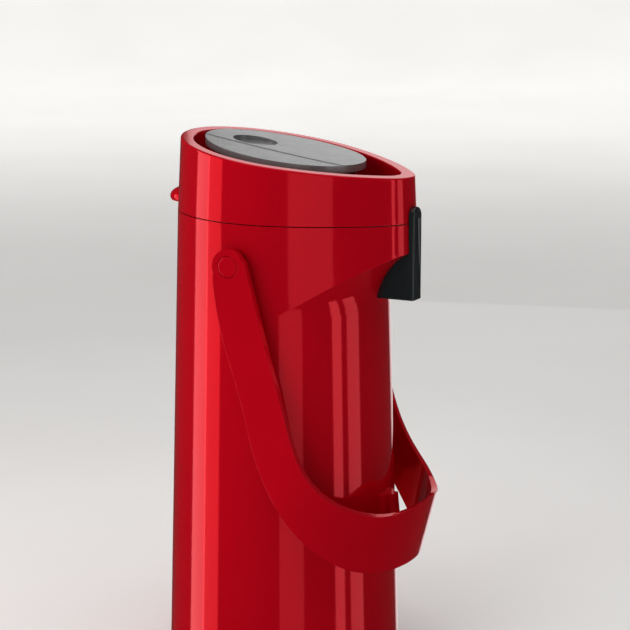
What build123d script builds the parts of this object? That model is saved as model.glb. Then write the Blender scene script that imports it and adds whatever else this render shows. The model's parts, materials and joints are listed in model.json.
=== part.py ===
"""Pump pot: a vacuum flask in a slim plastic casing, with an air pump in the lid.

The front of the pot faces -Y, its left side -X, and it stands on Z = 0 with its axis on Z.
Everything is in millimetres.
"""

from build123d import *
import math
import os

os.makedirs("parts", exist_ok=True)

# ---------------------------------------------------------------- driving dimensions
# Casing: a slim cone, with a nose-shaped visor that flares out of its front
SEAM_Z = 320.0          # joint between body and lid, on the axis
SEAM_SLOPE = 0.0257     # the joint drops towards the front
SEAM_GAP = 0.6
CONE_RADIUS = 73.0      # at the seam
CONE_SLOPE = 0.0303     # radius gained per mm going down
BODY_BOTTOM = 6.0
WALL = 3.0
REAR_RADIUS = 73.0      # the plan outline: rear circle, two side arcs and a nose
SIDE_RADIUS = 150.2
NOSE_RADIUS = 31.8
TANGENT_ANGLE = 69.6    # from the front axis to where the side arcs leave the rear circle
VISOR_START = 258.0     # where the flare leaves the cone
FLARE_RADIUS = 45.0
MERGE = 0.02            # how far the visor's rear lies inside the cone

# Lid
LID_DRAFT = 2.95        # degrees
RIM_REAR_RISE = 54.54   # rim height over the seam at the rear wall
RIM_SLOPE = -0.1915
RIM_CURVE = 0.0002263
RIM_BAND = 9.0
WELL_INSET = 11.4       # well wall, measured in from the plan outline at the seam
WELL_WALL = 2.5
DECK_TOP = 326.0
DECK_THICK = 2.5
FLANGE_BOTTOM = 321.0

# Pump
PUMP_Y = -4.0
PLATE_LENGTH = 113.0
PLATE_Y = -2.0          # centre of the plate's oval
PLATE_WIDTH = 103.0
PLATE_PROUD = 2.2       # plate top over the rim surface
PLATE_THICK = 5.0
SCOOP_Y = 22.0
SCOOP_RADIUS = 15.5
STRIP_HALF = 17.5       # flat strip along the middle of the plate
WING_STEP = 0.35
WING_TILT = 0.5
SKIRT_RADIUS = 46.0
SKIRT_THICK = 2.2
SKIRT_BOTTOM = 324.5
DISC_BOTTOM = 344.0
DISC_THICK = 3.0
DISH_RADIUS = 52.5
DISH_FLOOR = 303.0
DISH_THICK = 2.5
BELLOWS_RADIUS = 41.0
BELLOWS_DEPTH = 5.0
BELLOWS_FOLDS = 6
BELLOWS_THICK = 1.0
SPRING_RADIUS = 14.0
SPRING_WIRE = 1.6
SPRING_TURNS = 6

# Rear hinge
HINGE_Y = 80.0
HINGE_Z = 327.0
HINGE_PIN_RADIUS = 1.6
KNUCKLE_RADIUS = 3.4
KNUCKLE_HALF = 5.5
HINGE_PIN_HALF = 9.4
TONGUE_RADIUS = 14.6    # the tongue over the hinge is the outer part of a flat ellipsoid
TONGUE_HALF_HEIGHT = 7.5
TONGUE_Y = 74.4
TONGUE_Z = 325.8

# Spout
SPOUT_WIDTH = 13.5
SPOUT_FRONT = -102.2
SPOUT_BOTTOM = 265.6
SPOUT_TOP = 329.0
SPOUT_WALL = 1.7
INSERT_TOP = 279.0
PIPE_Z = 292.0
PIPE_RADIUS = 4.4
PIPE_BORE = 3.3

# Handle
PIVOT_Y = -1.5
PIVOT_Z = 292.6
ARM_OUTER = 82.0
ARM_THICK = 4.5
ARM_END_RADIUS = 12.0
GRIP_CENTRE_Y = -29.0   # centre of the half circle, at GRIP_REF_Z
GRIP_REF_Z = 120.0
GRIP_LEAN = 0.26        # forward per mm going up
PIN_RADIUS = 4.0
CAP_RADIUS = 7.1

# Flask and liquid path
LINER_RADIUS = 64.0
LINER_GAP = 5.5
LINER_WALL = 1.6
LINER_BOTTOM = 24.0
LINER_SHOULDER = 246.0
NECK_RADIUS = 33.0
NECK_TOP = 282.0
COLLAR_Z = 281.0
CARRIER_TOP = 299.9
RISER_BOTTOM = 32.0


# ---------------------------------------------------------------- shared forms
def cone_radius(z):
    """Radius of the casing's cone at height z."""
    return CONE_RADIUS + (SEAM_Z - z) * CONE_SLOPE


def rim_height(y):
    """Height of the lid's rim over Z = 0, y being the row's Y."""
    run = REAR_RADIUS - y
    return SEAM_Z + RIM_REAR_RISE + RIM_SLOPE * run + RIM_CURVE * run * run


def nose_outline(inset):
    """The closed plan outline of lid and visor, moved in by inset, as a flat sketch."""
    angle = math.radians(TANGENT_ANGLE)
    reach = SIDE_RADIUS - REAR_RADIUS
    side_centre = Vector(-reach * math.sin(angle), reach * math.cos(angle))
    across = SIDE_RADIUS - NOSE_RADIUS
    nose_y = side_centre.Y - math.sqrt(across ** 2 - side_centre.X ** 2)
    nose_centre = Vector(0, nose_y)
    rear_point = Vector(math.sin(angle), -math.cos(angle)) * (REAR_RADIUS - inset)
    towards_nose = (nose_centre - side_centre).normalized()
    nose_point = nose_centre + towards_nose * (NOSE_RADIUS - inset)
    middle = ((rear_point - side_centre).normalized() + towards_nose).normalized()
    side_point = side_centre + middle * (SIDE_RADIUS - inset)
    nose_tip = nose_centre - Vector(0, NOSE_RADIUS - inset)
    with BuildSketch() as outline:
        with BuildLine():
            rear_left = Vector(-rear_point.X, rear_point.Y)
            ThreePointArc(rear_point, Vector(0, REAR_RADIUS - inset), rear_left)
            side = ThreePointArc(rear_point, side_point, nose_point)
            mirror(side, about=Plane.YZ)
            ThreePointArc(Vector(-nose_point.X, nose_point.Y), nose_tip, nose_point)
        make_face()
    return outline.sketch


def seam_plane(lift=0.0):
    """The sloping joint plane between body and lid, raised by lift."""
    return Plane(origin=(0, 0, SEAM_Z + lift), z_dir=(0, -SEAM_SLOPE, 1))


def body_form(inset, floor):
    """The casing's solid form with every side moved in by inset: a cone with the visor on it."""
    top = SEAM_Z + 12
    tip = CONE_RADIUS + FLARE_RADIUS + 40
    start = cone_radius(VISOR_START) - inset - MERGE
    with BuildPart() as visor:
        with BuildSketch(Plane.XY.offset(VISOR_START)):
            add(nose_outline(inset + MERGE - (SEAM_Z - VISOR_START) * CONE_SLOPE))
        extrude(amount=top - VISOR_START, taper=math.degrees(math.atan(CONE_SLOPE)))
        with BuildSketch(Plane.XZ):
            with BuildLine():
                flare = FLARE_RADIUS + inset
                turn = JernArc((start, VISOR_START), (0, 1), flare, -88)
                Polyline(turn @ 1, (tip, (turn @ 1).Y + 1), (tip, top + 1), (0, top + 1),
                         (0, VISOR_START), (start, VISOR_START))
            make_face()
        revolve(axis=Axis.Z, mode=Mode.INTERSECT)
    with BuildPart() as form:
        with BuildSketch(Plane.XZ):
            with BuildLine():
                Polyline((0, floor), (cone_radius(floor) - inset, floor),
                         (cone_radius(top) - inset, top), (0, top), close=True)
            make_face()
        revolve(axis=Axis.Z)
        add(visor.part)
    return form.part


def lid_form(inset, rim_drop):
    """The lid's solid form: sides moved in by inset and the top rim_drop under the rim."""
    bottom = SEAM_Z - 6
    with BuildPart() as form:
        with BuildSketch(Plane.XY.offset(bottom)):
            add(nose_outline(inset - (SEAM_Z - bottom) * math.tan(math.radians(LID_DRAFT))))
        extrude(amount=68, taper=LID_DRAFT)
        add(below_rim(rim_drop), mode=Mode.INTERSECT)
    return form.part


def below_rim(drop):
    """A wide block whose top is the rim's curved surface, lowered by drop."""
    ends = (-125.0, -20.0, 95.0)
    points = [(y, rim_height(y) - drop) for y in ends]
    with BuildPart() as block:
        with BuildSketch(Plane.YZ):
            with BuildLine():
                ThreePointArc(*points)
                Polyline(points[2], (ends[2], 290), (ends[0], 290), points[0])
            make_face()
        extrude(amount=100, both=True)
    return block.part


# ---------------------------------------------------------------- casing
outer_form = body_form(0, BODY_BOTTOM)
inner_form = body_form(WALL, BODY_BOTTOM - 1)

RIB_TOP = 127.5
RIB_BOTTOM = 72.0
RIB_FRONT_TOP = -87.7
RIB_FRONT_LOW = -92.0
RIB_HALF = 3.6
# narrow upright rib low on the front, its flanks blended into the casing
with BuildPart() as rib:
    with BuildSketch(Plane.YZ):
        with BuildLine():
            Polyline((-70, RIB_BOTTOM), (-82, RIB_BOTTOM), (RIB_FRONT_LOW, RIB_BOTTOM + 14),
                     (RIB_FRONT_TOP, RIB_TOP), (-70, RIB_TOP), close=True)
        make_face()
    extrude(amount=20, both=True)
    with BuildSketch(Plane.XY.offset(RIB_BOTTOM - 5)):
        with BuildLine():
            flank = RadiusArc((RIB_HALF + 6, -78), (RIB_HALF, -84), 6)
            Polyline(flank @ 1, (RIB_HALF, -95), (0, -95))
            Polyline((0, -70), (RIB_HALF + 6, -70), flank @ 0)
            mirror(about=Plane.YZ)
        make_face()
    extrude(amount=80, mode=Mode.INTERSECT)

with BuildPart() as body_shell:
    add(outer_form)
    add(rib.part)
    add(inner_form, mode=Mode.SUBTRACT)
    split(bisect_by=seam_plane(), keep=Keep.BOTTOM)
    # ledge that carries the shoulder collar
    with BuildSketch(Plane.XZ):
        with BuildLine():
            ledge = cone_radius(COLLAR_Z) - WALL
            Polyline((ledge - 5, COLLAR_Z - 0.1), (ledge + 1, COLLAR_Z - 0.1),
                     (ledge + 1, COLLAR_Z - 8), (ledge - 0.2, COLLAR_Z - 8), close=True)
        make_face()
    revolve(axis=Axis.Z)
    # seats for the handle's pivot pins
    with BuildSketch(Plane.YZ):
        with Locations((PIVOT_Y, PIVOT_Z)):
            Circle(PIN_RADIUS)
    extrude(amount=90, both=True, mode=Mode.SUBTRACT)
    # the liquid's way out through the visor's underside
    with BuildSketch(Plane.XZ.offset(70)):
        with Locations((0, PIPE_Z)):
            Circle(PIPE_RADIUS + 1.3)
    extrude(amount=40, mode=Mode.SUBTRACT)
body_shell.part.label = "body_shell"
export_step(body_shell.part, "parts/body_shell.step")

# ear that rises inside the rear wall, passes over its rim and carries the lid's hinge
with BuildPart() as hinge_bracket:
    with BuildSketch(Plane.YZ):
        with BuildLine():
            Polyline((66.4, SEAM_Z - 14), (69.7, SEAM_Z - 14), (69.7, SEAM_Z + 2.3),
                     (73.8, SEAM_Z + 2.3), (HINGE_Y, HINGE_Z - KNUCKLE_RADIUS),
                     (HINGE_Y, HINGE_Z + KNUCKLE_RADIUS), (70, HINGE_Z + 1), (66.4, HINGE_Z - 3),
                     close=True)
        make_face()
        with Locations((HINGE_Y, HINGE_Z)):
            Circle(KNUCKLE_RADIUS)
            Circle(HINGE_PIN_RADIUS + 0.05, mode=Mode.SUBTRACT)
    extrude(amount=KNUCKLE_HALF, both=True)
hinge_bracket.part.label = "hinge_bracket"
export_step(hinge_bracket.part, "parts/hinge_bracket.step")

with BuildPart() as base_plate:
    with BuildSketch(Plane.XZ):
        with BuildLine():
            rim = cone_radius(BODY_BOTTOM) - WALL - 0.2
            Polyline((0, 3.5), (rim + WALL, 3.5), (rim + WALL, BODY_BOTTOM), (rim, BODY_BOTTOM),
                     (rim, 12), (rim - 3, 12), (rim - 3, BODY_BOTTOM), (0, BODY_BOTTOM),
                     close=True)
        make_face()
    revolve(axis=Axis.Z)
    with Locations((0, 0, 3.5)):
        with PolarLocations(58, 4, start_angle=45):
            Cylinder(2.0, 20, mode=Mode.SUBTRACT)
base_plate.part.label = "base_plate"
export_step(base_plate.part, "parts/base_plate.step")

with BuildPart() as foot_ring:
    with BuildSketch(Plane.XZ):
        with Locations((71, 1.75)):
            RectangleRounded(10, 3.5, 1.2)
    revolve(axis=Axis.Z)
foot_ring.part.label = "foot_ring"
export_step(foot_ring.part, "parts/foot_ring.step")

with BuildPart() as centre_pad:
    with Locations((0, 0, 1.75)):
        Cylinder(14, 3.5)
centre_pad.part.label = "centre_pad"
export_step(centre_pad.part, "parts/centre_pad.step")

with BuildPart() as base_screws:
    with PolarLocations(58, 4, start_angle=45):
        with Locations((0, 0, 2.5)):
            Cylinder(3.6, 2.0)
        with Locations((0, 0, 7.2)):
            Cylinder(1.95, 9.4)
        with Locations((0, 0, 1.5)):
            Box(4.5, 0.9, 1.0, align=(Align.CENTER, Align.CENTER, Align.MIN), mode=Mode.SUBTRACT)
            Box(0.9, 4.5, 1.0, align=(Align.CENTER, Align.CENTER, Align.MIN), mode=Mode.SUBTRACT)
base_screws.part.label = "base_screws"
export_step(base_screws.part, "parts/base_screws.step")

# ---------------------------------------------------------------- flask
with BuildPart() as liner_cushion:
    with BuildSketch(Plane.XZ):
        with BuildLine():
            Polyline((30, 12.2), (LINER_RADIUS + 6, 12.2), (LINER_RADIUS + 6, 38),
                     (LINER_RADIUS + 0.2, 38), (LINER_RADIUS + 0.2, LINER_BOTTOM - 0.2),
                     (30, LINER_BOTTOM - 0.2), close=True)
        make_face()
    revolve(axis=Axis.Z)
liner_cushion.part.label = "liner_cushion"
export_step(liner_cushion.part, "parts/liner_cushion.step")


def flask_wall(outer, bottom, shoulder, neck, top):
    """A thin bottle: outer radius, bottom and shoulder heights, neck radius and mouth height."""
    corner = 14.0
    with BuildPart() as wall:
        for inset, mode in ((0, Mode.ADD), (LINER_WALL, Mode.SUBTRACT)):
            mouth = top + (1 if inset else 0)
            with BuildSketch(Plane.XZ):
                with BuildLine():
                    radius = outer - inset
                    Line((0, bottom + inset), (radius - corner, bottom + inset))
                    JernArc((radius - corner, bottom + inset), (1, 0), corner, 90)
                    Line((radius, bottom + inset + corner), (radius, shoulder))
                    throat = neck - inset
                    Spline((radius, shoulder), (throat, shoulder + 24),
                           tangents=((0, 1), (0, 1)))
                    Polyline((throat, shoulder + 24), (throat, mouth), (0, mouth),
                             (0, bottom + inset))
                make_face()
            revolve(axis=Axis.Z, mode=mode)
    return wall.part


with BuildPart() as liner_outer:
    add(flask_wall(LINER_RADIUS, LINER_BOTTOM, LINER_SHOULDER, NECK_RADIUS, NECK_TOP))
liner_outer.part.label = "liner_outer"
export_step(liner_outer.part, "parts/liner_outer.step")

with BuildPart() as liner_inner:
    add(flask_wall(LINER_RADIUS - LINER_GAP, LINER_BOTTOM + LINER_GAP, LINER_SHOULDER - 3,
                   NECK_RADIUS - LINER_WALL, NECK_TOP))
liner_inner.part.label = "liner_inner"
export_step(liner_inner.part, "parts/liner_inner.step")

with BuildPart() as shoulder_collar:
    with BuildSketch(Plane.XZ):
        with BuildLine():
            edge = cone_radius(COLLAR_Z) - WALL - 0.3
            Polyline((NECK_RADIUS + 4.2, COLLAR_Z), (edge, COLLAR_Z), (edge, COLLAR_Z + 5),
                     (edge - 2, COLLAR_Z + 5), (edge - 2, COLLAR_Z + 2.2),
                     (NECK_RADIUS + 4.2, COLLAR_Z + 2.2), close=True)
        make_face()
    revolve(axis=Axis.Z)
shoulder_collar.part.label = "shoulder_collar"
export_step(shoulder_collar.part, "parts/shoulder_collar.step")

with BuildPart() as neck_seal:
    with BuildSketch(Plane.XZ):
        with BuildLine():
            Polyline((NECK_RADIUS, COLLAR_Z - 9), (NECK_RADIUS + 4.2, COLLAR_Z - 9),
                     (NECK_RADIUS + 4.2, NECK_TOP + 2), (NECK_RADIUS - 4.4, NECK_TOP + 2),
                     (NECK_RADIUS - 4.4, NECK_TOP), (NECK_RADIUS, NECK_TOP), close=True)
        make_face()
    revolve(axis=Axis.Z)
neck_seal.part.label = "neck_seal"
export_step(neck_seal.part, "parts/neck_seal.step")

# ---------------------------------------------------------------- liquid path
with BuildPart() as tube_carrier:
    floor = NECK_TOP + 2
    with BuildSketch(Plane.XZ):
        with BuildLine():
            Polyline((PIPE_RADIUS + 0.6, floor), (34, floor), (34, CARRIER_TOP),
                     (31, CARRIER_TOP), (31, floor + 2.5), (PIPE_RADIUS + 0.6, floor + 2.5),
                     close=True)
        make_face()
    revolve(axis=Axis.Z)
    with PolarLocations(18, 6):
        with Locations((0, 0, floor)):
            Cylinder(3.5, 8, mode=Mode.SUBTRACT)
    with BuildSketch(Plane.XZ.offset(25)):
        with Locations((0, PIPE_Z)):
            Circle(PIPE_RADIUS)
    extrude(amount=15, mode=Mode.SUBTRACT)
tube_carrier.part.label = "tube_carrier"
export_step(tube_carrier.part, "parts/tube_carrier.step")

with BuildPart() as riser_tube:
    with BuildSketch(Plane.XY.offset(RISER_BOTTOM)):
        Circle(PIPE_RADIUS + 0.6)
        Circle(PIPE_BORE + 0.6, mode=Mode.SUBTRACT)
    extrude(amount=NECK_TOP - 4 - RISER_BOTTOM)
riser_tube.part.label = "riser_tube"
export_step(riser_tube.part, "parts/riser_tube.step")

with BuildPart() as tube_coupling:
    with BuildSketch(Plane.XY.offset(NECK_TOP - 12)):
        Circle(PIPE_RADIUS + 2.4)
        Circle(PIPE_RADIUS + 0.6, mode=Mode.SUBTRACT)
    extrude(amount=14)
tube_coupling.part.label = "tube_coupling"
export_step(tube_coupling.part, "parts/tube_coupling.step")

ELBOW_END = -28.0
with BuildPart() as outlet_elbow:
    with BuildLine():
        run = FilletPolyline((0, 0, NECK_TOP - 4), (0, 0, PIPE_Z), (0, ELBOW_END, PIPE_Z), radius=7)
    with BuildSketch(Plane(origin=(0, 0, NECK_TOP - 4), z_dir=(0, 0, 1))):
        Circle(PIPE_RADIUS)
        Circle(PIPE_BORE, mode=Mode.SUBTRACT)
    sweep()
outlet_elbow.part.label = "outlet_elbow"
export_step(outlet_elbow.part, "parts/outlet_elbow.step")

PIPE_DROP_Y = -93.0
with BuildPart() as outlet_pipe:
    with BuildLine():
        FilletPolyline((0, ELBOW_END, PIPE_Z), (0, PIPE_DROP_Y, PIPE_Z),
                       (0, PIPE_DROP_Y, INSERT_TOP + 0.5), radius=5)
    with BuildSketch(Plane(origin=(0, ELBOW_END, PIPE_Z), z_dir=(0, -1, 0))):
        Circle(PIPE_RADIUS)
        Circle(PIPE_BORE, mode=Mode.SUBTRACT)
    sweep()
outlet_pipe.part.label = "outlet_pipe"
export_step(outlet_pipe.part, "parts/outlet_pipe.step")

with BuildPart() as pipe_seal:
    with BuildSketch(Plane.XZ.offset(78)):
        with Locations((0, PIPE_Z)):
            Circle(PIPE_RADIUS + 1.3)
            Circle(PIPE_RADIUS, mode=Mode.SUBTRACT)
    extrude(amount=7)
pipe_seal.part.label = "pipe_seal"
export_step(pipe_seal.part, "parts/pipe_seal.step")

# ---------------------------------------------------------------- spout
with BuildPart() as spout_housing:
    half = SPOUT_WIDTH / 2
    with BuildSketch(Plane.XZ.offset(70)):
        with BuildLine():
            Line((-half, SPOUT_TOP - half), (-half, SPOUT_BOTTOM))
            Line((-half, SPOUT_BOTTOM), (half, SPOUT_BOTTOM))
            Line((half, SPOUT_BOTTOM), (half, SPOUT_TOP - half))
            ThreePointArc((half, SPOUT_TOP - half), (0, SPOUT_TOP), (-half, SPOUT_TOP - half))
        make_face()
    extrude(amount=-SPOUT_FRONT - 70)
    front = spout_housing.faces().sort_by(Axis.Y)[0]
    fillet(front.edges().filter_by(lambda e: e.center().Z > SPOUT_BOTTOM + 1), radius=1.4)
    # scooped groove down the middle of the front face, fading towards the bottom
    with BuildSketch(Plane(origin=(0, SPOUT_FRONT, SPOUT_TOP - 8), x_dir=(1, 0, 0),
                           z_dir=(0, 0.03, 1))):
        with Locations((0, -5.4)):
            Circle(7.0)
    extrude(amount=-60, mode=Mode.SUBTRACT)
    add(body_form(-0.1, 240), mode=Mode.SUBTRACT)
    add(lid_form(-0.5, 0), mode=Mode.SUBTRACT)
    # hollow that takes the pipe and the insert
    with BuildSketch(Plane.XY.offset(SPOUT_BOTTOM - 1)):
        with Locations((0, -90)):
            Rectangle(SPOUT_WIDTH - 2 * SPOUT_WALL, 18)
    extrude(amount=PIPE_Z + 5.4 - SPOUT_BOTTOM, mode=Mode.SUBTRACT)
    with BuildSketch(Plane.XZ.offset(70)):
        with Locations((0, PIPE_Z)):
            Circle(PIPE_RADIUS + 0.2)
    extrude(amount=20, mode=Mode.SUBTRACT)
spout_housing.part.label = "spout_housing"
export_step(spout_housing.part, "parts/spout_housing.step")

INSERT_GAP = 0.25
with BuildPart() as drip_insert:
    width = SPOUT_WIDTH - 2 * SPOUT_WALL - 2 * INSERT_GAP
    length = 18 - 2 * INSERT_GAP
    with BuildSketch(Plane.XY.offset(SPOUT_BOTTOM)):
        with Locations((0, -90)):
            Rectangle(width, length)
    extrude(amount=INSERT_TOP - SPOUT_BOTTOM)
    # open well, with a back that slopes to the outlet
    with BuildSketch(Plane.YZ):
        with BuildLine():
            Polyline((-97.2, INSERT_TOP), (-97.2, SPOUT_BOTTOM + 3), (-91, SPOUT_BOTTOM + 2),
                     (-83, INSERT_TOP - 5), (-83, INSERT_TOP), close=True)
        make_face()
    extrude(amount=width / 2 - 1.3, both=True, mode=Mode.SUBTRACT)
    # round outlet and drip slots in the floor
    with BuildSketch(Plane.XY.offset(SPOUT_BOTTOM - 1)):
        with Locations((0, -93.8)):
            Circle(2.9)
        with Locations((0, -88), (0, -85.6), (0, -83.2)):
            SlotOverall(width - 3, 1.1)
    extrude(amount=12, mode=Mode.SUBTRACT)
drip_insert.part.label = "drip_insert"
export_step(drip_insert.part, "parts/drip_insert.step")

# ---------------------------------------------------------------- lid
with BuildPart() as well_wall:
    with BuildSketch(Plane.XY.offset(DECK_TOP)):
        add(nose_outline(WELL_INSET - WELL_WALL))
    extrude(amount=80)

with BuildPart() as tongue:
    with BuildSketch(Plane.YZ):
        with Locations((TONGUE_Y, TONGUE_Z)):
            Ellipse(TONGUE_RADIUS, TONGUE_HALF_HEIGHT)
        with Locations((TONGUE_Y - TONGUE_RADIUS, TONGUE_Z)):
            Rectangle(2 * TONGUE_RADIUS, 20, mode=Mode.INTERSECT)
    revolve(axis=Axis((0, TONGUE_Y, 0), (0, 0, 1)))
    split(bisect_by=Plane(origin=(0, 70.4, 0), z_dir=(0, 1, 0)), keep=Keep.TOP)

with BuildPart() as lid_shell:
    add(lid_form(0, 0))
    fillet(lid_shell.faces().sort_by(Axis.Z)[-1].edges(), radius=1.2)
    # well, with a softened lip
    with BuildSketch(Plane.XY.offset(SEAM_Z - 10)):
        add(nose_outline(WELL_INSET))
    extrude(amount=80, mode=Mode.SUBTRACT)
    rim_faces = lid_shell.faces().filter_by(lambda f: f.center().Z > SEAM_Z + 15)
    rim_face = rim_faces.filter_by(lambda f: len(f.inner_wires()) == 1)[0]
    fillet(rim_face.inner_wires()[0].edges(), radius=0.8)
    # hollow between the outer wall and the well wall, and under the well
    add(lid_form(WALL, 4) - well_wall.part, mode=Mode.SUBTRACT)
    # tongue over the hinge, hollow underneath
    add(tongue.part)
    with BuildSketch(Plane.YZ):
        with BuildLine():
            Polyline((64, SEAM_Z - 6), (85.4, SEAM_Z - 6), (85.4, HINGE_Z + 1), (81.5, HINGE_Z + 4),
                     (64, HINGE_Z + 4), close=True)
        make_face()
    extrude(amount=KNUCKLE_HALF + 0.4, both=True, mode=Mode.SUBTRACT)
    with BuildSketch(Plane.YZ):
        with Locations((HINGE_Y, HINGE_Z)):
            Circle(HINGE_PIN_RADIUS)
    extrude(amount=HINGE_PIN_HALF + 0.1, both=True, mode=Mode.SUBTRACT)
    split(bisect_by=seam_plane(SEAM_GAP), keep=Keep.TOP)
lid_shell.part.label = "lid_shell"
export_step(lid_shell.part, "parts/lid_shell.step")

with BuildPart() as hinge_pin:
    with BuildSketch(Plane.YZ):
        with Locations((HINGE_Y, HINGE_Z)):
            Circle(HINGE_PIN_RADIUS)
    extrude(amount=HINGE_PIN_HALF, both=True)
hinge_pin.part.label = "hinge_pin"
export_step(hinge_pin.part, "parts/hinge_pin.step")

DECK_SCREWS = [(44, 44), (-44, 44), (53, -30), (-53, -30)]
with BuildPart() as pump_deck:
    with BuildSketch(Plane.XY.offset(DECK_TOP - DECK_THICK)):
        add(nose_outline(WALL + 1.0))
        with Locations((0, PUMP_Y)):
            Circle(SKIRT_RADIUS + 0.6, mode=Mode.SUBTRACT)
        with Locations((0, REAR_RADIUS)):
            Rectangle(2 * KNUCKLE_HALF + 4, 20, mode=Mode.SUBTRACT)
    extrude(amount=DECK_THICK)
    with Locations([(x, y, DECK_TOP - 2) for x, y in DECK_SCREWS]):
        Cylinder(1.5, 10, mode=Mode.SUBTRACT)
pump_deck.part.label = "pump_deck"
export_step(pump_deck.part, "parts/pump_deck.step")

with BuildPart() as lid_underplate:
    with BuildSketch(Plane.XY.offset(FLANGE_BOTTOM)):
        add(nose_outline(WALL + 3.0))
        with Locations((0, REAR_RADIUS - 2)):
            Rectangle(2 * KNUCKLE_HALF + 8, 20, mode=Mode.SUBTRACT)
    extrude(amount=DECK_TOP - DECK_THICK - FLANGE_BOTTOM)
    with BuildSketch(Plane.XY.offset(DISH_FLOOR)):
        with Locations((0, PUMP_Y)):
            Circle(DISH_RADIUS)
    extrude(amount=FLANGE_BOTTOM - DISH_FLOOR)
    with BuildSketch(Plane.XY.offset(DISH_FLOOR + DISH_THICK)):
        with Locations((0, PUMP_Y)):
            Circle(DISH_RADIUS - DISH_THICK)
    extrude(amount=40, mode=Mode.SUBTRACT)
    with Locations((0, PUMP_Y, DISH_FLOOR)):
        with PolarLocations(3.6, 4):
            Cylinder(1.4, 12, mode=Mode.SUBTRACT)
    with Locations([(x, y, FLANGE_BOTTOM) for x, y in DECK_SCREWS]):
        Cylinder(1.5, 10, mode=Mode.SUBTRACT)
lid_underplate.part.label = "lid_underplate"
export_step(lid_underplate.part, "parts/lid_underplate.step")

with BuildPart() as deck_screws:
    for x, y in DECK_SCREWS:
        with Locations((x, y, FLANGE_BOTTOM - 0.8)):
            Cylinder(2.8, 1.6)
        with Locations((x, y, FLANGE_BOTTOM + 2)):
            Cylinder(1.45, 4.6)
deck_screws.part.label = "deck_screws"
export_step(deck_screws.part, "parts/deck_screws.step")

with BuildPart() as lid_gasket:
    with BuildSketch(Plane.XZ):
        with BuildLine():
            Polyline((28, CARRIER_TOP + 0.1), (36, CARRIER_TOP + 0.1), (36, DISH_FLOOR),
                     (28, DISH_FLOOR), close=True)
        make_face()
    revolve(axis=Axis.Z)
lid_gasket.part.label = "lid_gasket"
export_step(lid_gasket.part, "parts/lid_gasket.step")

with BuildPart() as air_valve:
    with Locations((0, PUMP_Y, DISH_FLOOR - 0.6)):
        Cylinder(7, 1.2)
air_valve.part.label = "air_valve"
export_step(air_valve.part, "parts/air_valve.step")

# ---------------------------------------------------------------- pump
BELLOWS_LOW = DISH_FLOOR + DISH_THICK
with BuildPart() as bellows:
    pitch = (DISC_BOTTOM - BELLOWS_LOW) / BELLOWS_FOLDS
    outside = []
    for fold in range(BELLOWS_FOLDS):
        outside.append((BELLOWS_RADIUS - BELLOWS_DEPTH, BELLOWS_LOW + fold * pitch))
        outside.append((BELLOWS_RADIUS, BELLOWS_LOW + (fold + 0.5) * pitch))
    outside.append((BELLOWS_RADIUS - BELLOWS_DEPTH, DISC_BOTTOM))
    inside = [(r - BELLOWS_THICK * 1.4, z) for r, z in reversed(outside)]
    with BuildSketch(Plane.XZ.offset(-PUMP_Y)):
        with BuildLine():
            Polyline(*outside, *inside, close=True)
        make_face()
    revolve(axis=Axis((0, PUMP_Y, 0), (0, 0, 1)))
bellows.part.label = "bellows"
export_step(bellows.part, "parts/bellows.step")

with BuildPart() as bellows_clamp:
    with BuildSketch(Plane.XY.offset(BELLOWS_LOW)):
        with Locations((0, PUMP_Y)):
            Circle(BELLOWS_RADIUS - BELLOWS_DEPTH - 1.8)
            Circle(BELLOWS_RADIUS - BELLOWS_DEPTH - 6, mode=Mode.SUBTRACT)
    extrude(amount=2)
bellows_clamp.part.label = "bellows_clamp"
export_step(bellows_clamp.part, "parts/bellows_clamp.step")

with BuildPart() as return_spring:
    low = BELLOWS_LOW + SPRING_WIRE / 2
    high = DISC_BOTTOM - SPRING_WIRE / 2
    with BuildLine():
        coil = Helix(pitch=(high - low) / SPRING_TURNS, height=high - low, radius=SPRING_RADIUS,
                     center=(0, PUMP_Y, low))
    with BuildSketch(Plane(origin=coil @ 0, z_dir=coil % 0)):
        Circle(SPRING_WIRE / 2)
    sweep(is_frenet=True)
return_spring.part.label = "return_spring"
export_step(return_spring.part, "parts/return_spring.step")

with BuildPart() as plunger:
    with BuildSketch(Plane.XY.offset(SKIRT_BOTTOM)):
        with Locations((0, PUMP_Y)):
            Circle(SKIRT_RADIUS)
            Circle(SKIRT_RADIUS - SKIRT_THICK, mode=Mode.SUBTRACT)
    extrude(amount=60)
    with BuildSketch(Plane.XY.offset(DISC_BOTTOM)):
        with Locations((0, PUMP_Y)):
            Circle(SKIRT_RADIUS - 1)
    extrude(amount=DISC_THICK)
    add(below_rim(PLATE_THICK - PLATE_PROUD), mode=Mode.INTERSECT)
    with Locations((0, PUMP_Y, DISC_BOTTOM)):
        with PolarLocations(30, 4, start_angle=45):
            Cylinder(1.6, 20, mode=Mode.SUBTRACT)
plunger.part.label = "plunger"
export_step(plunger.part, "parts/plunger.step")

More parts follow.
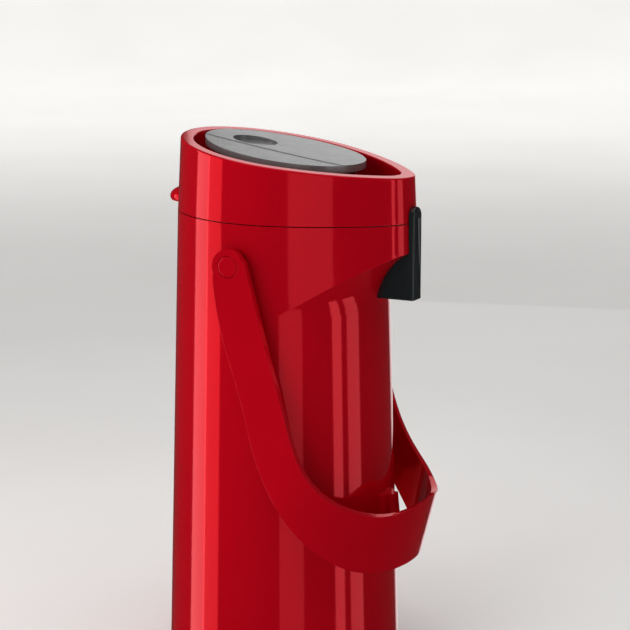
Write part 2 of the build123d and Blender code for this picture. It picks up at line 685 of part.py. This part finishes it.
with BuildPart() as push_plate:
    with BuildSketch(Plane.XY.offset(SEAM_Z)):
        with Locations((0, PLATE_Y)):
            Ellipse(PLATE_WIDTH / 2, PLATE_LENGTH / 2)
    extrude(amount=90)
    add(below_rim(-PLATE_PROUD), mode=Mode.INTERSECT)
    add(below_rim(PLATE_THICK - PLATE_PROUD), mode=Mode.SUBTRACT)
    # side wings, a fine step below the middle strip, that fall away to the edges
    for side in (1, -1):
        hinge_line = Axis((side * STRIP_HALF, 0, rim_height(0) + PLATE_PROUD), (0, 1, 0))
        wing = below_rim(WING_STEP - PLATE_PROUD).rotate(hinge_line, side * WING_TILT)
        over = Box(40, 120, 80, mode=Mode.PRIVATE)
        over = over.moved(Location((side * (STRIP_HALF + 20), 0, SEAM_Z + 60)))
        add(over - wing, mode=Mode.SUBTRACT)
    # thumb scoop, deepest at its rear
    scoop_top = rim_height(SCOOP_Y) + PLATE_PROUD
    with BuildSketch(Plane(origin=(0, SCOOP_Y, scoop_top - 2.6), x_dir=(1, 0, 0),
                           z_dir=(0, -0.08, 1))):
        Circle(SCOOP_RADIUS)
    extrude(amount=20, mode=Mode.SUBTRACT)
push_plate.part.label = "push_plate"
export_step(push_plate.part, "parts/push_plate.step")

with BuildPart() as plunger_screws:
    with Locations((0, PUMP_Y, DISC_BOTTOM)):
        with PolarLocations(30, 4, start_angle=45):
            Cylinder(1.5, 7, align=(Align.CENTER, Align.CENTER, Align.MIN))
            with Locations((0, 0, -1.4)):
                Cylinder(3.0, 1.4, align=(Align.CENTER, Align.CENTER, Align.MIN))
plunger_screws.part.label = "plunger_screws"
export_step(plunger_screws.part, "parts/plunger_screws.step")

# ---------------------------------------------------------------- carrying handle
def grip_y(y, z):
    """Move a plan position forward with height, as the leaning grip wall does."""
    return y - (z - GRIP_REF_Z) * GRIP_LEAN


LOWER_EDGE = [(10.2, -33), (2.0, -79), (-10.2, -117), (-23.3, -163), (-43.5, -197.6),
              (-71.7, -227), (-92.0, -238.4), (-101.5, -239.2)]
UPPER_EDGE = [(-13.4, -22), (-22.3, -54), (-32.8, -91), (-43.4, -126), (-54.5, -159),
              (-66.7, -176.6), (-86, -190.5), (-103, -195.9), (-112.7, -192.2)]
GRIP_END = -135.0
with BuildPart() as handle:
    # the strap's wall: a half circle with straight arms, leaning forward as it rises
    with BuildSketch(Plane.XY.offset(GRIP_REF_Z - 60)):
        with BuildLine():
            front = grip_y(GRIP_CENTRE_Y, GRIP_REF_Z - 60)
            Line((ARM_OUTER, 90), (ARM_OUTER, front))
            ThreePointArc((ARM_OUTER, front), (0, front - ARM_OUTER), (-ARM_OUTER, front))
            Line((-ARM_OUTER, front), (-ARM_OUTER, 90))
            offset(amount=-ARM_THICK, side=Side.RIGHT)
        make_face()
    extrude(amount=280, dir=(0, -GRIP_LEAN, 1))
    # cut to the side outline: arms that widen and curl into the grip
    with BuildSketch(Plane.YZ):
        with BuildLine():
            lower = [(y, SEAM_Z + z) for y, z in LOWER_EDGE]
            upper = [(y, SEAM_Z + z) for y, z in UPPER_EDGE]
            Spline(*lower)
            Polyline(lower[-1], (GRIP_END, lower[-1][1] + 4), (GRIP_END, upper[-1][1] + 8),
                     upper[-1])
            Spline(*upper)
            Line(upper[0], lower[0])
        make_face()
        with Locations((PIVOT_Y, PIVOT_Z)):
            Circle(ARM_END_RADIUS)
    extrude(amount=100, both=True, mode=Mode.INTERSECT)
    for side in (1, -1):
        face = Plane(origin=(side * (ARM_OUTER + 1), PIVOT_Y, PIVOT_Z), z_dir=(-side, 0, 0))
        with BuildSketch(face):
            Circle(CAP_RADIUS + 0.3)
        extrude(amount=3.2, mode=Mode.SUBTRACT)
        with BuildSketch(face):
            Circle(PIN_RADIUS + 0.05)
        extrude(amount=12, mode=Mode.SUBTRACT)
handle.part.label = "handle"
export_step(handle.part, "parts/handle.step")


def pivot_pin(side):
    """Shouldered pin through the casing wall, standing out to carry one arm."""
    with BuildPart() as pin:
        with BuildSketch(Plane(origin=(side * 66, PIVOT_Y, PIVOT_Z), z_dir=(side, 0, 0))):
            Circle(PIN_RADIUS + 2.5)
        extrude(amount=4.2)
        with BuildSketch(Plane(origin=(side * 66, PIVOT_Y, PIVOT_Z), z_dir=(side, 0, 0))):
            Circle(PIN_RADIUS)
        extrude(amount=13.4)
    return pin.part


def pivot_washer(side):
    """Flat washer on the pin, between casing and arm."""
    with BuildPart() as washer:
        with BuildSketch(Plane(origin=(side * 74.4, PIVOT_Y, PIVOT_Z), z_dir=(side, 0, 0))):
            Circle(9)
            Circle(PIN_RADIUS, mode=Mode.SUBTRACT)
        extrude(amount=2.9)
    return washer.part


def pivot_cap(side):
    """Low domed cap in the arm's recess."""
    with BuildPart() as cap:
        with BuildSketch(Plane(origin=(side * 79.8, PIVOT_Y, PIVOT_Z), z_dir=(side, 0, 0))):
            Circle(CAP_RADIUS)
        extrude(amount=2.5)
        fillet(cap.faces().sort_by(Axis.X)[-1 if side > 0 else 0].edges(), radius=0.8)
    return cap.part


for side, word in ((-1, "left"), (1, "right")):
    for maker, stem in ((pivot_pin, "pivot_pin"), (pivot_washer, "pivot_washer"),
                        (pivot_cap, "pivot_cap")):
        piece = maker(side)
        piece.label = f"{stem}_{word}"
        export_step(piece, f"parts/{stem}_{word}.step")
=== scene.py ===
"""Studio scene of the red pump pot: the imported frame, finished surfaces, soft light and one camera.

Metres, Z up. The spout faces -Y and the pot stands on Z = 0.
"""
import json
import math

import bmesh
import bpy
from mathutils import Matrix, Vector


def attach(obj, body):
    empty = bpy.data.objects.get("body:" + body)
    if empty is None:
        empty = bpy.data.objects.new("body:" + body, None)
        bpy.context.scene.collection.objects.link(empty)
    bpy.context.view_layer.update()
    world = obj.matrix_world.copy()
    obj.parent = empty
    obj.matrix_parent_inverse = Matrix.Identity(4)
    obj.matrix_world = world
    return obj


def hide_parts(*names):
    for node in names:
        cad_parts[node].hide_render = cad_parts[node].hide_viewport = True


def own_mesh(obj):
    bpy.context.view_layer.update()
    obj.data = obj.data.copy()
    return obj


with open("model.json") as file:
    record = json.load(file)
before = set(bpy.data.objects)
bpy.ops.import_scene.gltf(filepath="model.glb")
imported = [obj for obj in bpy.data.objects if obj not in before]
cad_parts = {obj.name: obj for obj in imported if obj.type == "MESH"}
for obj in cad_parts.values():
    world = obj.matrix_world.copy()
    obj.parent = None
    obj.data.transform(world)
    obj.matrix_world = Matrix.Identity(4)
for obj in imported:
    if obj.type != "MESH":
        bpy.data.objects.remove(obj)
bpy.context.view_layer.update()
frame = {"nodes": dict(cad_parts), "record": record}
nodes = frame["nodes"]
scene = bpy.context.scene

# ---------------------------------------------------------------- viewing geometry
SEAM_Z = 0.320                      # where lid and casing meet, on the axis
CAMERA_AT = Vector((-1.1263, -0.5947, SEAM_Z + 0.1869))
CAMERA_BACK = Vector((-0.8740, -0.4423, 0.2011))
LENS = 105.7                        # mm, on a sensor SENSOR mm wide
SENSOR = 36
TOWARDS_CAMERA = Vector((-0.8923, -0.4515, 0.0))
TO_THE_RIGHT = Vector((0.4515, -0.8923, 0.0))


# ---------------------------------------------------------------- material helpers
class Shader:
    """A Principled material with a small toolkit for procedural detail."""

    def __init__(self, name, **settings):
        self.material = bpy.data.materials.new(name)
        self.material.use_nodes = True
        self.tree = self.material.node_tree
        self.principled = self.tree.nodes["Principled BSDF"]
        self.coords = self.add("ShaderNodeTexCoord").outputs["Object"]
        for socket, value in settings.items():
            self.principled.inputs[socket.replace("_", " ")].default_value = value

    def add(self, kind, **settings):
        node = self.tree.nodes.new(kind)
        for key, value in settings.items():
            setattr(node, key, value)
        return node

    def link(self, source, target):
        self.tree.links.new(source, target)

    def noise(self, scale, detail=3.0, stretch=None):
        """Noise in object space, optionally stretched along an axis."""
        texture = self.add("ShaderNodeTexNoise")
        texture.inputs["Scale"].default_value = scale
        texture.inputs["Detail"].default_value = detail
        source = self.coords
        if stretch:
            mapping = self.add("ShaderNodeMapping")
            mapping.inputs["Scale"].default_value = stretch
            self.link(self.coords, mapping.inputs["Vector"])
            source = mapping.outputs["Vector"]
        self.link(source, texture.inputs["Vector"])
        return texture.outputs["Fac"]

    def ramp(self, factor, low, high, start=0.3, end=0.7):
        """Map a factor to colours between low and high."""
        node = self.add("ShaderNodeValToRGB")
        first, last = node.color_ramp.elements
        first.position, last.position = start, end
        first.color, last.color = (*low, 1), (*high, 1)
        self.link(factor, node.inputs["Fac"])
        return node.outputs["Color"]

    def spread(self, factor, low, high):
        """Map a 0..1 factor to a number between low and high."""
        node = self.add("ShaderNodeMapRange")
        node.inputs["To Min"].default_value = low
        node.inputs["To Max"].default_value = high
        self.link(factor, node.inputs["Value"])
        return node.outputs["Result"]

    def colour(self, socket):
        self.link(socket, self.principled.inputs["Base Color"])

    def roughness(self, socket):
        self.link(socket, self.principled.inputs["Roughness"])

    def soft_edges(self, radius):
        """Shade sharp edges as if they were rounded to this radius."""
        node = self.add("ShaderNodeBevel", samples=6)
        node.inputs["Radius"].default_value = radius
        self.link(node.outputs["Normal"], self.principled.inputs["Normal"])

    def bump(self, height, distance, strength=1.0):
        """Add a bump layer on top of any earlier one."""
        node = self.add("ShaderNodeBump")
        node.inputs["Strength"].default_value = strength
        node.inputs["Distance"].default_value = distance
        self.link(height, node.inputs["Height"])
        normal = self.principled.inputs["Normal"]
        if normal.is_linked:
            self.link(normal.links[0].from_socket, node.inputs["Normal"])
        self.link(node.outputs["Normal"], normal)


def red_gloss():
    """Deep red high-gloss moulding with faint flow marks and an almost flat orange peel."""
    s = Shader("red_gloss", Metallic=0.30, Coat_Weight=0.12, Coat_Roughness=0.03,
               Specular_IOR_Level=0.40, Specular_Tint=(1.0, 0.45, 0.48, 1))
    s.colour(s.ramp(s.noise(9, 2), (0.560, 0.0007, 0.0095), (0.610, 0.0010, 0.0110)))
    s.roughness(s.spread(s.noise(60, 4), 0.06, 0.10))
    s.soft_edges(0.0007)
    s.bump(s.noise(220, 2), 0.00002, 0.25)
    return s.material


def plate_satin():
    """Charcoal satin press plate with a fine spark-eroded grain."""
    s = Shader("plate_satin", Specular_IOR_Level=0.9, Metallic=0.35)
    s.colour(s.ramp(s.noise(700, 4), (0.20, 0.202, 0.202), (0.25, 0.252, 0.252)))
    s.roughness(s.spread(s.noise(90, 3), 0.22, 0.30))
    s.soft_edges(0.0005)
    s.bump(s.noise(2600, 2), 0.00005, 0.35)
    return s.material


def plain_plastic(name, low, high, rough, grain=900, depth=0.00004, **settings):
    """Moulded plastic or rubber: two close tones, grained surface."""
    s = Shader(name, **settings)
    s.colour(s.ramp(s.noise(40, 4), low, high))
    s.roughness(s.spread(s.noise(120, 3), rough - 0.04, rough + 0.05))
    s.bump(s.noise(grain, 3), depth, 0.4)
    return s.material


def brushed(name, tone, rough, stretch):
    """Steel or silvered glass with fine lines along its length."""
    s = Shader(name, Metallic=1.0)
    dark = tuple(c * 0.82 for c in tone)
    lines = s.noise(160, 6, stretch)
    s.colour(s.ramp(lines, dark, tone))
    s.roughness(s.spread(lines, rough, rough + 0.14))
    s.bump(lines, 0.00002, 0.3)
    return s.material


MATERIALS = {
    "red_gloss": red_gloss(),
    "base_red": plain_plastic("base_red", (0.30, 0.001, 0.006), (0.36, 0.002, 0.008), 0.34),
    "plate_satin": plate_satin(),
    "black_plastic": plain_plastic("black_plastic", (0.012, 0.012, 0.012), (0.02, 0.02, 0.02),
                                   0.45),
    "spout_gloss": plain_plastic("spout_gloss", (0.008, 0.011, 0.012), (0.012, 0.015, 0.016), 0.10,
                                 grain=200, depth=0.00001, Coat_Weight=0.4),
    "insert_black": plain_plastic("insert_black", (0.012, 0.011, 0.011), (0.02, 0.018, 0.018),
                                  0.2),
    "rubber": plain_plastic("rubber", (0.018, 0.018, 0.018), (0.03, 0.03, 0.03), 0.72,
                            grain=500, depth=0.0001),
    "silicone": plain_plastic("silicone", (0.60, 0.60, 0.57), (0.70, 0.70, 0.67), 0.5,
                              Subsurface_Weight=0.2),
    "bellows_rubber": plain_plastic("bellows_rubber", (0.05, 0.05, 0.052), (0.08, 0.08, 0.082),
                                    0.6),
    "steel": brushed("steel", (0.60, 0.61, 0.62), 0.22, (1, 1, 6)),
    "spring_steel": brushed("spring_steel", (0.52, 0.53, 0.55), 0.2, (1, 1, 4)),
    "silvered_glass": brushed("silvered_glass", (0.74, 0.75, 0.77), 0.06, (1, 1, 0.05)),
    "white_plastic": plain_plastic("white_plastic", (0.70, 0.70, 0.68), (0.78, 0.78, 0.76), 0.4),
    "clear_tube": plain_plastic("clear_tube", (0.80, 0.82, 0.83), (0.86, 0.88, 0.88), 0.15,
                                Transmission_Weight=0.7),
}


slot_of = {part["node"]: part["material_slot"] for part in frame["record"]["subparts"]}
for name, node in nodes.items():
    node.data.materials.clear()
    node.data.materials.append(MATERIALS[slot_of[name]])


def squashed_copy(name):
    """Stand in for a springy CAD piece with a copy of its own mesh, hung from the lid."""
    piece = nodes[name].copy()
    piece.data = nodes[name].data.copy()
    piece.name = name + "_flexing"
    scene.collection.objects.link(piece)
    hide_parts(name)
    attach(piece, "lid")
    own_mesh(piece)


squashed_copy("bellows")
squashed_copy("return_spring")


# ---------------------------------------------------------------- studio
def stage_floor():
    """A seamless pale sweep: table top, cove and wall in one, kept out of mirror reflections."""
    steps = 24
    half_width, reach, cove, height = 9.0, 5.0, 2.0, 7.0
    away = -TOWARDS_CAMERA
    profile = [(-6.0, 0.0), (0.0, 0.0), (reach, 0.0)]
    for i in range(1, steps + 1):
        turn = math.pi / 2 * i / steps
        profile.append((reach + cove * math.sin(turn), cove * (1 - math.cos(turn))))
    profile.append((reach + cove, height))
    mesh = bpy.data.meshes.new("studio_floor")
    sheet = bmesh.new()
    rows = []
    for run, z in profile:
        base = away * run
        rows.append([sheet.verts.new(base + TO_THE_RIGHT * side * half_width + Vector((0, 0, z)))
                     for side in (-1, 1)])
    for low, high in zip(rows, rows[1:]):
        sheet.faces.new((low[0], low[1], high[1], high[0])).smooth = True
    sheet.to_mesh(mesh)
    sheet.free()
    floor = bpy.data.objects.new("studio_floor", mesh)
    scene.collection.objects.link(floor)
    floor.visible_glossy = False
    s = Shader("studio_floor", Roughness=0.7, Specular_IOR_Level=0.2)
    tone = s.ramp(s.noise(3, 3), (0.78, 0.775, 0.76), (0.81, 0.805, 0.79))
    s.colour(tone)
    s.link(tone, s.principled.inputs["Emission Color"])
    # the sweep glows more with distance, where the pot's own lights no longer reach it
    distance = s.add("ShaderNodeVectorMath", operation="LENGTH")
    s.link(s.coords, distance.inputs[0])
    glow = s.add("ShaderNodeMapRange", interpolation_type="SMOOTHSTEP")
    for socket, value in (("From Min", 0.5), ("From Max", 4.0), ("To Min", 0.12), ("To Max", 0.85)):
        glow.inputs[socket].default_value = value
    s.link(distance.outputs["Value"], glow.inputs["Value"])
    s.link(glow.outputs["Result"], s.principled.inputs["Emission Strength"])
    floor.data.materials.append(s.material)


def panel(name, azimuth, distance, width, height, centre_z, glow, colour=(1, 1, 1), aim=None,
          mirrored=True, lights_matt=True):
    """A rectangular softbox of radiance glow, at azimuth degrees right of the camera.

    mirrored: glossy surfaces reflect it; lights_matt: it also lights matt surfaces.
    """
    light = bpy.data.lights.new(name, "AREA")
    light.shape = "RECTANGLE"
    light.size, light.size_y = width, height
    light.energy = glow * math.pi * width * height
    light.color = colour
    obj = bpy.data.objects.new(name, light)
    scene.collection.objects.link(obj)
    turn = math.radians(azimuth)
    direction = TOWARDS_CAMERA * math.cos(turn) + TO_THE_RIGHT * math.sin(turn)
    obj.location = direction * distance + Vector((0, 0, centre_z))
    target = Vector((0, 0, centre_z if aim is None else aim))
    obj.rotation_euler = (target - obj.location).to_track_quat("-Z", "Y").to_euler()
    obj.visible_camera = False
    obj.visible_glossy = mirrored
    obj.visible_diffuse = lights_matt


SEEN_BACKGROUND = (0.84, 0.86, 0.86, 1)
REFLECTED_BACKGROUND = (0.05, 0.05, 0.05, 1)


def world_light():
    """Pale where the camera sees it, dim where the pot reflects it."""
    world = bpy.data.worlds.new("studio")
    scene.world = world
    world.use_nodes = True
    tree = world.node_tree
    background = tree.nodes["Background"]
    path = tree.nodes.new("ShaderNodeLightPath")
    mix = tree.nodes.new("ShaderNodeMix")
    mix.data_type = "RGBA"
    mix.inputs["A"].default_value = REFLECTED_BACKGROUND
    mix.inputs["B"].default_value = SEEN_BACKGROUND
    tree.links.new(path.outputs["Is Camera Ray"], mix.inputs["Factor"])
    tree.links.new(mix.outputs["Result"], background.inputs["Color"])


def camera():
    data = bpy.data.cameras.new("camera")
    data.lens = LENS
    data.sensor_width = SENSOR
    obj = bpy.data.objects.new("camera", data)
    scene.collection.objects.link(obj)
    obj.location = CAMERA_AT
    obj.rotation_euler = (-CAMERA_BACK).to_track_quat("-Z", "Y").to_euler()
    scene.camera = obj


scene.view_settings.view_transform = "Standard"
stage_floor()
world_light()
panel("key_left", -95, 1.2, 0.42, 1.6, 0.1, 2.1)
panel("key_edge", -77, 1.2, 0.40, 1.6, 0.1, 1.6, colour=(1.0, 0.42, 0.45))
panel("fill_camera", 8, 1.9, 0.80, 1.6, 0.1, 0.50)
panel("strip_right_a", 57, 1.3, 0.24, 1.4, 0.1, 1.2)
panel("strip_right_b", 77, 1.3, 0.36, 1.4, 0.1, 1.0)
panel("back_right", 168, 1.3, 0.7, 1.6, 0.1, 0.9, lights_matt=False)
panel("overhead", 0, 0.1, 1.4, 1.4, 1.6, 0.8, aim=0.3)
panel("soft_front", -45, 2.2, 1.6, 1.6, 0.9, 2.8, aim=0.2, mirrored=False)
panel("soft_top", 0, 0.1, 1.8, 1.8, 2.0, 1.7, aim=0.0, mirrored=False)
camera()
